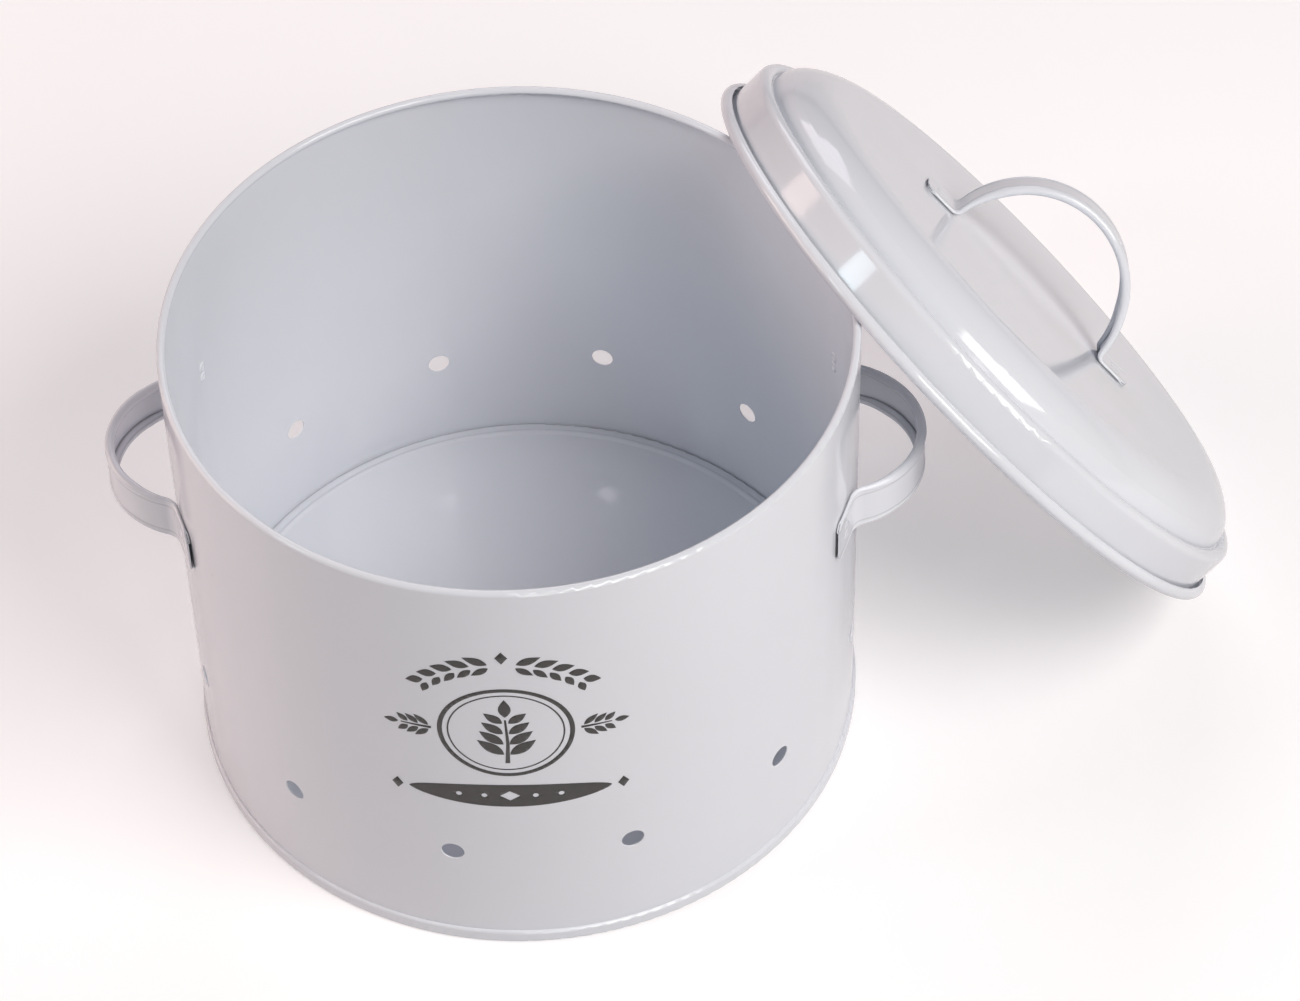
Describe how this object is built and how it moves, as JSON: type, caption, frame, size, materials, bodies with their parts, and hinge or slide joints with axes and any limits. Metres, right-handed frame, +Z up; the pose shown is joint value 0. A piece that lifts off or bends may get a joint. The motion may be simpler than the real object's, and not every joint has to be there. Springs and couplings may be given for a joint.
{
  "type": "lidded storage bin",
  "caption": "Round enamelled-steel vegetable bin with side strap handles, vent holes and a lift-off lid that leans against its rim.",
  "frame": {"origin": "centre of the bin's underside, on the surface it stands on", "axes": "+Z up along the bin's axis; X through the two side handles, with the lid leaning on the +X side; -Y is the front"},
  "size_m": [0.4364, 0.3429, 0.2242],
  "materials": {
    "bin_coat": "gloss white coating",
    "lid_coat": "gloss white coating",
    "handle_coat": "gloss white coating"
  },
  "bodies": {
    "bin": {"bin_wall": "bin_coat", "bin_base": "bin_coat", "right_side_handle": "handle_coat", "left_side_handle": "handle_coat", "right_handle_welds": "handle_coat", "left_handle_welds": "handle_coat"},
    "lid": {"lid_shell": "lid_coat", "lid_handle": "handle_coat", "lid_handle_welds": "handle_coat"}
  },
  "joints": [
    {"name": "lid_lift", "type": "slide", "parent": "bin", "child": "lid", "axis": [0.7183, 0.3304, 0.6122], "range_m": [0, 0.18]}
  ]
}
